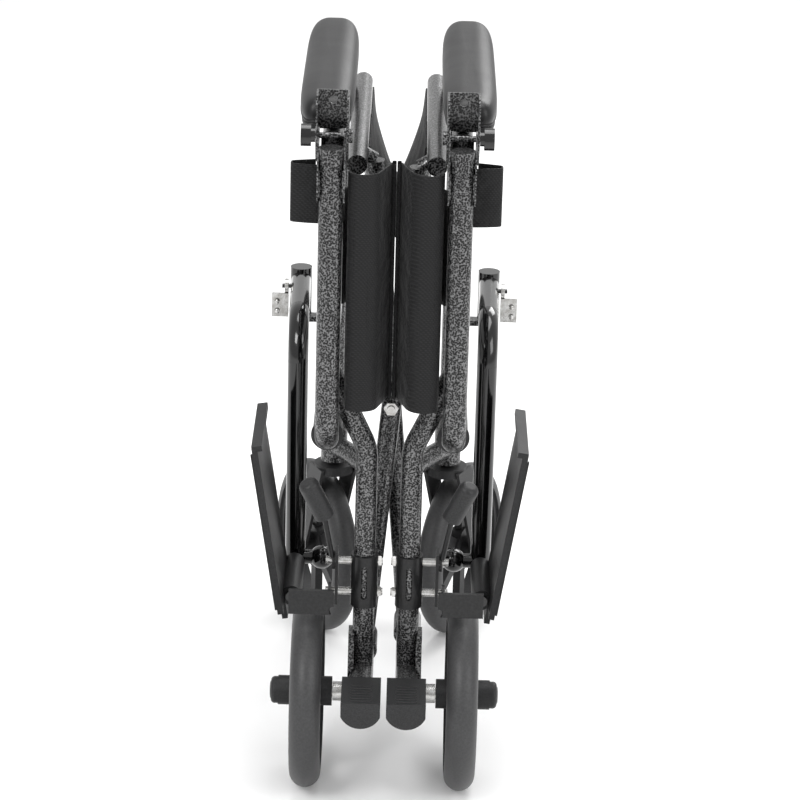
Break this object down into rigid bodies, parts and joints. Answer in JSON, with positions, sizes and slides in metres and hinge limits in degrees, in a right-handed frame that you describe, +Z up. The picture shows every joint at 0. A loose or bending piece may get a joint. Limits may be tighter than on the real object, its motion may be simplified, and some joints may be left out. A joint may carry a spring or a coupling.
{
  "type": "folding transport chair",
  "caption": "Folding transport chair on small wheels, shown folded, with cross-braced seat, padded arms, drop-down back, wheel locks and swing-away footrests.",
  "frame": {"origin": "on the floor, under the middle of the folded chair", "axes": "+X to the right wheel, +Y forward to the casters, +Z up"},
  "size_m": [0.289, 0.6007, 0.741],
  "materials": {
    "hammertone": "black and silver hammertone paint",
    "gloss_paint": "gloss black paint",
    "black_paint": "satin black paint",
    "nickel": "nickel-plated steel",
    "black_plastic": "moulded black plastic",
    "gloss_plastic": "glossy black knob",
    "tyre": "smooth dark tread",
    "grip_rubber": "dipped vinyl grip",
    "vinyl": "dark grey vinyl over a cushion",
    "nylon": "woven black nylon"
  },
  "bodies": {
    "left_side": {"left_frame": "hammertone", "left_tip_cap": "black_plastic", "left_hinge_channel": "hammertone", "left_arm_pad": "vinyl", "left_lock_clamp": "black_paint", "left_lock_bolts": "nickel", "left_axle": "nickel", "left_strap_loop": "nylon", "left_lower_cloth": "nylon"},
    "left_back": {"left_back_cane": "hammertone", "left_handle_grip": "grip_rubber", "left_back_cloth": "nylon"},
    "left_back_seam": {"left_back_hem": "nylon"},
    "left_lower_seam": {"left_lower_hem": "nylon"},
    "left_knob": {"left_release_knob": "gloss_plastic"},
    "left_rear_wheel": {"left_rear_tyre": "tyre", "left_rear_rim": "black_plastic", "left_hub_cap": "black_plastic"},
    "left_caster": {"left_caster_fork": "black_plastic"},
    "left_caster_wheel": {"left_caster_tyre": "tyre", "left_caster_rim": "black_plastic"},
    "left_footrest": {"left_hanger": "gloss_paint"},
    "left_latch": {"left_hanger_latch": "nickel"},
    "left_footplate": {"left_footplate": "black_plastic"},
    "left_lever": {"left_lock_lever": "black_paint", "left_lock_grip": "grip_rubber"},
    "left_shoe": {"left_lock_shoe": "black_paint"},
    "right_side": {"right_frame": "hammertone", "right_tip_cap": "black_plastic", "right_hinge_channel": "hammertone", "right_arm_pad": "vinyl", "right_lock_clamp": "black_paint", "right_lock_bolts": "nickel", "right_axle": "nickel", "right_strap_loop": "nylon", "right_lower_cloth": "nylon"},
    "right_back": {"right_back_cane": "hammertone", "right_handle_grip": "grip_rubber", "right_back_cloth": "nylon"},
    "right_back_seam": {"right_back_hem": "nylon"},
    "right_lower_seam": {"right_lower_hem": "nylon"},
    "right_knob": {"right_release_knob": "gloss_plastic"},
    "right_rear_wheel": {"right_rear_tyre": "tyre", "right_rear_rim": "black_plastic", "right_hub_cap": "black_plastic"},
    "right_caster": {"right_caster_fork": "black_plastic"},
    "right_caster_wheel": {"right_caster_tyre": "tyre", "right_caster_rim": "black_plastic"},
    "right_footrest": {"right_hanger": "gloss_paint"},
    "right_latch": {"right_hanger_latch": "nickel"},
    "right_footplate": {"right_footplate": "black_plastic"},
    "right_lever": {"right_lock_lever": "black_paint", "right_lock_grip": "grip_rubber"},
    "right_shoe": {"right_lock_shoe": "black_paint"},
    "brace_a": {"cross_tube_a": "hammertone", "scissor_bolt": "nickel", "seat_cloth": "nylon"},
    "brace_b": {"cross_tube_b": "hammertone"}
  },
  "joints": [
    {"name": "fold", "type": "hinge", "parent": "left_side", "child": "brace_a", "pos_m": [-0.023, -0.11038, 0.126], "axis": [0, 1, 0], "range_deg": [0, 47], "deforming": ["seat_cloth", "left_back_cloth", "right_back_cloth", "left_lower_cloth", "right_lower_cloth"]},
    {"name": "scissor", "type": "hinge", "parent": "brace_a", "child": "brace_b", "pos_m": [0, -0.09888, 0.3905], "axis": [0, 1, 0], "range_deg": [-94, 0]},
    {"name": "fold_right", "type": "hinge", "parent": "brace_b", "child": "right_side", "pos_m": [0.023, -0.08738, 0.126], "axis": [0, 1, 0], "range_deg": [0, 47]},
    {"name": "left_back_fold", "type": "hinge", "parent": "left_side", "child": "left_back", "pos_m": [-0.064, -0.20488, 0.702], "axis": [-1, 0, 0], "range_deg": [0, 180]},
    {"name": "left_back_gather", "type": "slide", "parent": "left_back", "child": "left_back_seam", "axis": [1, 0, 0], "range_m": [0, 0.1862]},
    {"name": "left_lower_gather", "type": "slide", "parent": "left_side", "child": "left_lower_seam", "axis": [1, 0, 0], "range_m": [0, 0.1862]},
    {"name": "left_knob_pull", "type": "slide", "parent": "left_side", "child": "left_knob", "axis": [-1, 0, 0], "range_m": [0, 0.008]},
    {"name": "left_rear_spin", "type": "hinge", "parent": "left_side", "child": "left_rear_wheel", "pos_m": [-0.08, -0.19038, 0.1], "axis": [1, 0, 0], "continuous": true},
    {"name": "left_caster_swivel", "type": "hinge", "parent": "left_side", "child": "left_caster", "pos_m": [-0.064, 0.16662, 0.24], "axis": [0, 0, 1], "range_deg": [-80, 190]},
    {"name": "left_caster_spin", "type": "hinge", "parent": "left_caster", "child": "left_caster_wheel", "pos_m": [-0.0823, 0.20773, 0.1], "axis": [0.9135, 0.4067, 0], "continuous": true},
    {"name": "left_footrest_swing", "type": "hinge", "parent": "left_side", "child": "left_footrest", "pos_m": [-0.104, 0.16662, 0.435], "axis": [0, 0, -1], "range_deg": [0, 180]},
    {"name": "left_latch_lift", "type": "hinge", "parent": "left_footrest", "child": "left_latch", "pos_m": [-0.117, 0.13862, 0.435], "axis": [1, 0, 0], "range_deg": [0, 25]},
    {"name": "left_plate_fold", "type": "hinge", "parent": "left_footrest", "child": "left_footplate", "pos_m": [-0.101, -0.05038, 0.167], "axis": [0, -1, 0], "range_deg": [0, 81]},
    {"name": "left_lock_pull", "type": "hinge", "parent": "left_side", "child": "left_lever", "pos_m": [-0.055, -0.19038, 0.248], "axis": [1, 0, 0], "range_deg": [0, 44]},
    {"name": "left_shoe_press", "type": "hinge", "parent": "left_side", "child": "left_shoe", "pos_m": [-0.058, -0.19038, 0.214], "axis": [1, 0, 0], "range_deg": [0, 22]},
    {"name": "right_back_fold", "type": "hinge", "parent": "right_side", "child": "right_back", "pos_m": [0.064, -0.20488, 0.702], "axis": [-1, 0, 0], "range_deg": [0, 180]},
    {"name": "right_back_gather", "type": "slide", "parent": "right_back", "child": "right_back_seam", "axis": [-1, 0, 0], "range_m": [0, 0.1862]},
    {"name": "right_lower_gather", "type": "slide", "parent": "right_side", "child": "right_lower_seam", "axis": [-1, 0, 0], "range_m": [0, 0.1862]},
    {"name": "right_knob_pull", "type": "slide", "parent": "right_side", "child": "right_knob", "axis": [1, 0, 0], "range_m": [0, 0.008]},
    {"name": "right_rear_spin", "type": "hinge", "parent": "right_side", "child": "right_rear_wheel", "pos_m": [0.08, -0.19038, 0.1], "axis": [1, 0, 0], "continuous": true},
    {"name": "right_caster_swivel", "type": "hinge", "parent": "right_side", "child": "right_caster", "pos_m": [0.064, 0.16662, 0.24], "axis": [0, 0, 1], "range_deg": [-190, 80]},
    {"name": "right_caster_spin", "type": "hinge", "parent": "right_caster", "child": "right_caster_wheel", "pos_m": [0.0823, 0.20773, 0.1], "axis": [0.9135, -0.4067, 0], "continuous": true},
    {"name": "right_footrest_swing", "type": "hinge", "parent": "right_side", "child": "right_footrest", "pos_m": [0.104, 0.16662, 0.435], "axis": [0, 0, 1], "range_deg": [0, 180]},
    {"name": "right_latch_lift", "type": "hinge", "parent": "right_footrest", "child": "right_latch", "pos_m": [0.117, 0.13862, 0.435], "axis": [1, 0, 0], "range_deg": [0, 25]},
    {"name": "right_plate_fold", "type": "hinge", "parent": "right_footrest", "child": "right_footplate", "pos_m": [0.101, -0.05038, 0.167], "axis": [0, 1, 0], "range_deg": [0, 81]},
    {"name": "right_lock_pull", "type": "hinge", "parent": "right_side", "child": "right_lever", "pos_m": [0.055, -0.19038, 0.248], "axis": [1, 0, 0], "range_deg": [0, 44]},
    {"name": "right_shoe_press", "type": "hinge", "parent": "right_side", "child": "right_shoe", "pos_m": [0.058, -0.19038, 0.214], "axis": [1, 0, 0], "range_deg": [0, 22]}
  ],
  "couplings": [
    {"joint": "scissor", "follows": "fold", "ratio": -2},
    {"joint": "fold_right", "follows": "fold", "ratio": 1},
    {"joint": "left_back_gather", "follows": "fold", "m_per_rad": 0.22693},
    {"joint": "left_lower_gather", "follows": "fold", "m_per_rad": 0.22693},
    {"joint": "left_shoe_press", "follows": "left_lock_pull", "ratio": 0.5},
    {"joint": "right_back_gather", "follows": "fold", "m_per_rad": 0.22693},
    {"joint": "right_lower_gather", "follows": "fold", "m_per_rad": 0.22693},
    {"joint": "right_shoe_press", "follows": "right_lock_pull", "ratio": 0.5},
    {"joint": "right_back_fold", "follows": "left_back_fold", "ratio": 1}
  ]
}
